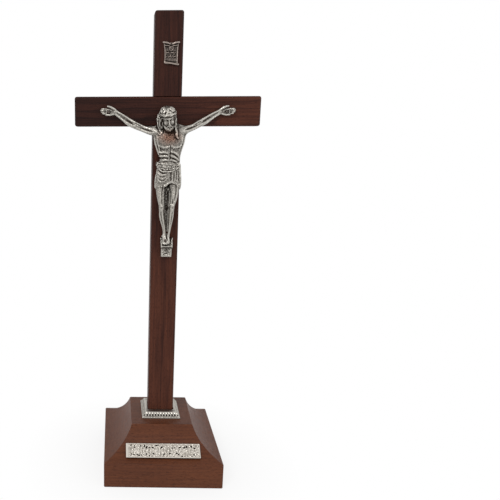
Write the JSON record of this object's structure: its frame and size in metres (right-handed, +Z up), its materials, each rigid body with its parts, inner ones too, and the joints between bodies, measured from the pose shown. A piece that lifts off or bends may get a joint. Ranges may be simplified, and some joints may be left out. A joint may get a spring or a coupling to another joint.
{
  "type": "standing cross",
  "caption": "Wooden standing crucifix: a lap-jointed cross on a coved square base, with a cast metal figure, title scroll, collar and plaque.",
  "frame": {"origin": "middle of the base's underside, on the surface that the cross stands on", "axes": "+Z up along the upright, +X to the right as seen from the front, the figure faces -Y"},
  "size_m": [0.1154, 0.078, 0.3],
  "materials": {
    "dark_wood": "satin dark red-brown stain, fine pores along the grain",
    "red_wood": "satin reddish brown stain, end grain on the two sides",
    "antique_silver": "cast white metal, silver plated, polished on the heights and dark in the recesses",
    "steel": "plain steel"
  },
  "bodies": {
    "root": {"base_block": "red_wood", "upright": "dark_wood", "crossbeam": "dark_wood", "collar": "antique_silver", "plaque": "antique_silver", "title_scroll": "antique_silver", "scroll_pin": "steel", "corpus": "antique_silver", "hand_nail_left": "steel", "hand_nail_right": "steel", "foot_nail": "steel", "base_screw": "steel"}
  },
  "joints": []
}
